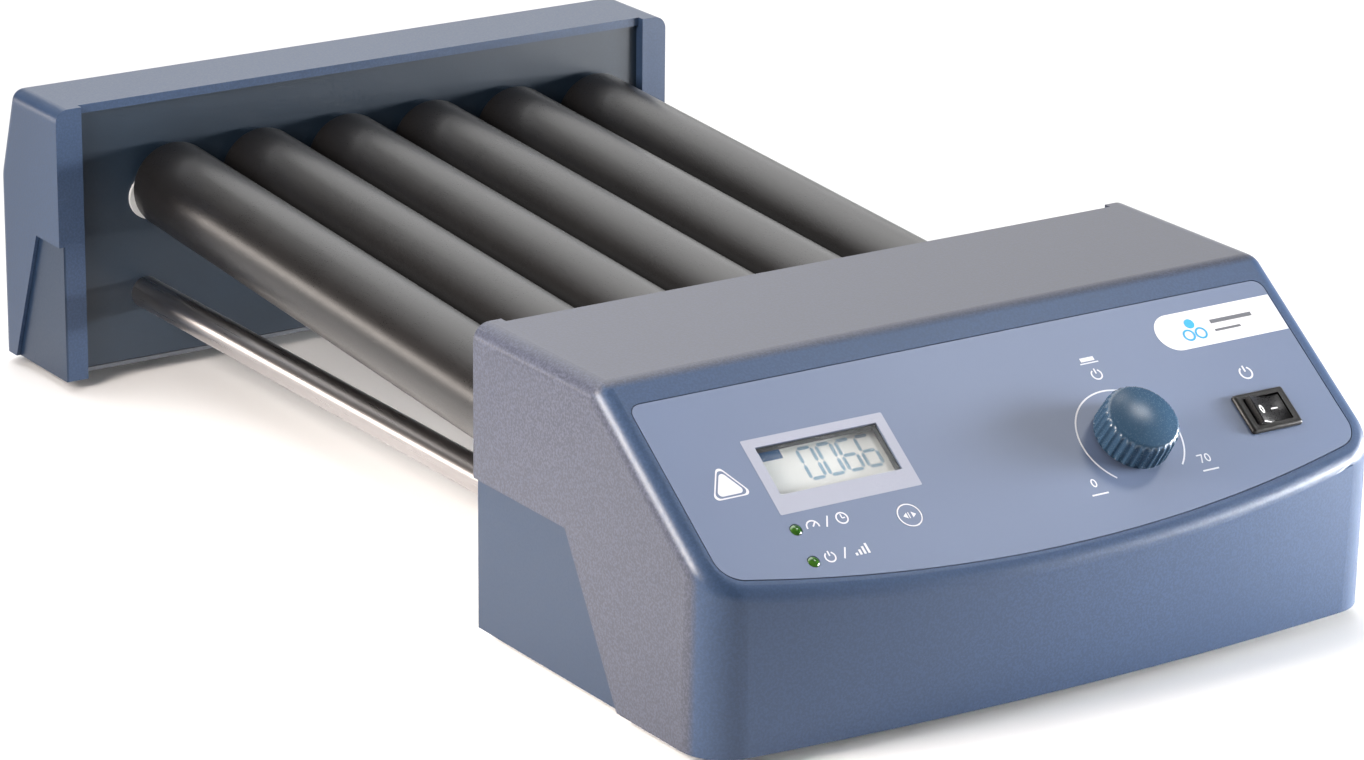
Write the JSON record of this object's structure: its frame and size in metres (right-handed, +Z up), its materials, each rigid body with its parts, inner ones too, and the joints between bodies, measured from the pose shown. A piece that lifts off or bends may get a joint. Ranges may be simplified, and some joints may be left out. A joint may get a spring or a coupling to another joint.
{
  "type": "tube roller mixer",
  "caption": "Bench mixer with off-centre rollers between a control head and a rear block, which roll and rock tubes lying across the valleys.",
  "frame": {"origin": "under the middle of the whole mixer, on the surface its rubber feet stand on", "axes": "+X to the right seen from the control panel, +Y from the control head to the rear block along the rollers, +Z up"},
  "size_m": [0.2643, 0.4902, 0.108],
  "materials": {
    "housing": "satin, fine texture",
    "plate": "satin",
    "base_sheet": "satin",
    "rod_steel": "polished",
    "fastener": "satin",
    "foot_rubber": "matte",
    "roller_rubber": "satin",
    "tube_metal": "satin",
    "bush": "satin",
    "gear_plastic": "satin",
    "gearbox_metal": "satin",
    "motor_metal": "satin",
    "overlay": "satin film",
    "clear_window": "gloss",
    "display": "gloss",
    "circuit_board": "satin",
    "indicator": "gloss",
    "encoder_metal": "satin",
    "knob": "satin",
    "switch_black": "satin"
  },
  "bodies": {
    "base": {"head_cover": "housing", "rear_cover": "housing", "head_end_plate": "plate", "rear_end_plate": "plate", "head_base_plate": "base_sheet", "rear_base_plate": "base_sheet", "left_tie_rod": "rod_steel", "right_tie_rod": "rod_steel", "tie_rod_nuts": "fastener", "rubber_feet": "foot_rubber", "housing_screws": "fastener", "roller_bushes": "bush", "idler_pins": "fastener", "motor_gearbox": "gearbox_metal", "drive_motor": "motor_metal", "panel_overlay": "overlay", "display_window": "clear_window", "display_module": "display", "control_board": "circuit_board", "indicator_lights": "indicator", "speed_encoder": "encoder_metal", "power_switch_housing": "switch_black", "power_supply": "circuit_board", "power_inlet": "switch_black"},
    "roller_1": {"roller_1_sleeve": "roller_rubber", "roller_1_core": "tube_metal", "roller_1_journals": "fastener", "roller_1_gear": "gear_plastic"},
    "roller_2": {"roller_2_sleeve": "roller_rubber", "roller_2_core": "tube_metal", "roller_2_journals": "fastener", "roller_2_gear": "gear_plastic"},
    "roller_3": {"roller_3_sleeve": "roller_rubber", "roller_3_core": "tube_metal", "roller_3_journals": "fastener", "roller_3_gear": "gear_plastic"},
    "roller_4": {"roller_4_sleeve": "roller_rubber", "roller_4_core": "tube_metal", "roller_4_journals": "fastener", "roller_4_gear": "gear_plastic"},
    "roller_5": {"roller_5_sleeve": "roller_rubber", "roller_5_core": "tube_metal", "roller_5_journals": "fastener", "roller_5_gear": "gear_plastic"},
    "roller_6": {"roller_6_sleeve": "roller_rubber", "roller_6_core": "tube_metal", "roller_6_journals": "fastener", "roller_6_gear": "gear_plastic"},
    "idler_1": {"idler_gear_1": "gear_plastic"},
    "idler_2": {"idler_gear_2": "gear_plastic"},
    "idler_3": {"idler_gear_3": "gear_plastic"},
    "idler_4": {"idler_gear_4": "gear_plastic"},
    "idler_5": {"idler_gear_5": "gear_plastic"},
    "drive": {"drive_pinion": "gear_plastic", "motor_shaft": "fastener"},
    "encoder_plunger": {"encoder_plunger": "bush"},
    "knob": {"speed_knob": "knob", "encoder_shaft": "encoder_metal"},
    "mode_button": {"mode_button": "overlay"},
    "power_rocker": {"power_switch_rocker": "switch_black"}
  },
  "joints": [
    {"name": "roller_1_turn", "type": "hinge", "parent": "base", "child": "roller_1", "pos_m": [-0.092, 0, 0.069], "axis": [0, 1, 0], "continuous": true},
    {"name": "roller_2_turn", "type": "hinge", "parent": "base", "child": "roller_2", "pos_m": [-0.0552, 0, 0.069], "axis": [0, 1, 0], "continuous": true},
    {"name": "roller_3_turn", "type": "hinge", "parent": "base", "child": "roller_3", "pos_m": [-0.0184, 0, 0.069], "axis": [0, 1, 0], "continuous": true},
    {"name": "roller_4_turn", "type": "hinge", "parent": "base", "child": "roller_4", "pos_m": [0.0184, 0, 0.069], "axis": [0, 1, 0], "continuous": true},
    {"name": "roller_5_turn", "type": "hinge", "parent": "base", "child": "roller_5", "pos_m": [0.0552, 0, 0.069], "axis": [0, 1, 0], "continuous": true},
    {"name": "roller_6_turn", "type": "hinge", "parent": "base", "child": "roller_6", "pos_m": [0.092, 0, 0.069], "axis": [0, 1, 0], "continuous": true},
    {"name": "idler_1_turn", "type": "hinge", "parent": "base", "child": "idler_1", "pos_m": [-0.0736, 0, 0.069], "axis": [0, 1, 0], "continuous": true},
    {"name": "idler_2_turn", "type": "hinge", "parent": "base", "child": "idler_2", "pos_m": [-0.0368, 0, 0.069], "axis": [0, 1, 0], "continuous": true},
    {"name": "idler_3_turn", "type": "hinge", "parent": "base", "child": "idler_3", "pos_m": [0, 0, 0.069], "axis": [0, 1, 0], "continuous": true},
    {"name": "idler_4_turn", "type": "hinge", "parent": "base", "child": "idler_4", "pos_m": [0.0368, 0, 0.069], "axis": [0, 1, 0], "continuous": true},
    {"name": "idler_5_turn", "type": "hinge", "parent": "base", "child": "idler_5", "pos_m": [0.0736, 0, 0.069], "axis": [0, 1, 0], "continuous": true},
    {"name": "drive_turn", "type": "hinge", "parent": "base", "child": "drive", "pos_m": [-0.0184, 0, 0.0506], "axis": [0, 1, 0], "continuous": true},
    {"name": "knob_push", "type": "slide", "parent": "base", "child": "encoder_plunger", "axis": [0, 0.592, -0.8059], "range_m": [0, 0.0008], "stiffness_N_per_m": 3000, "springref_m": -0.0004},
    {"name": "knob_turn", "type": "hinge", "parent": "encoder_plunger", "child": "knob", "pos_m": [0.0415, -0.21511, 0.07325], "axis": [0, 0.592, -0.8059], "range_deg": [-254, 16]},
    {"name": "mode_button_push", "type": "slide", "parent": "base", "child": "mode_button", "axis": [0, 0.592, -0.8059], "range_m": [0, 0.0004], "stiffness_N_per_m": 2000, "springref_m": -0.0002},
    {"name": "power_rocker_tip", "type": "hinge", "parent": "base", "child": "power_rocker", "pos_m": [0.0967, -0.21497, 0.07087], "axis": [0, -0.8059, -0.592], "range_deg": [0, 20]}
  ],
  "couplings": [
    {"joint": "roller_2_turn", "follows": "roller_1_turn", "ratio": 1},
    {"joint": "roller_3_turn", "follows": "roller_1_turn", "ratio": 1},
    {"joint": "roller_4_turn", "follows": "roller_1_turn", "ratio": 1},
    {"joint": "roller_5_turn", "follows": "roller_1_turn", "ratio": 1},
    {"joint": "roller_6_turn", "follows": "roller_1_turn", "ratio": 1},
    {"joint": "idler_1_turn", "follows": "roller_1_turn", "ratio": -1},
    {"joint": "idler_2_turn", "follows": "roller_1_turn", "ratio": -1},
    {"joint": "idler_3_turn", "follows": "roller_1_turn", "ratio": -1},
    {"joint": "idler_4_turn", "follows": "roller_1_turn", "ratio": -1},
    {"joint": "idler_5_turn", "follows": "roller_1_turn", "ratio": -1},
    {"joint": "drive_turn", "follows": "roller_1_turn", "ratio": -1}
  ]
}
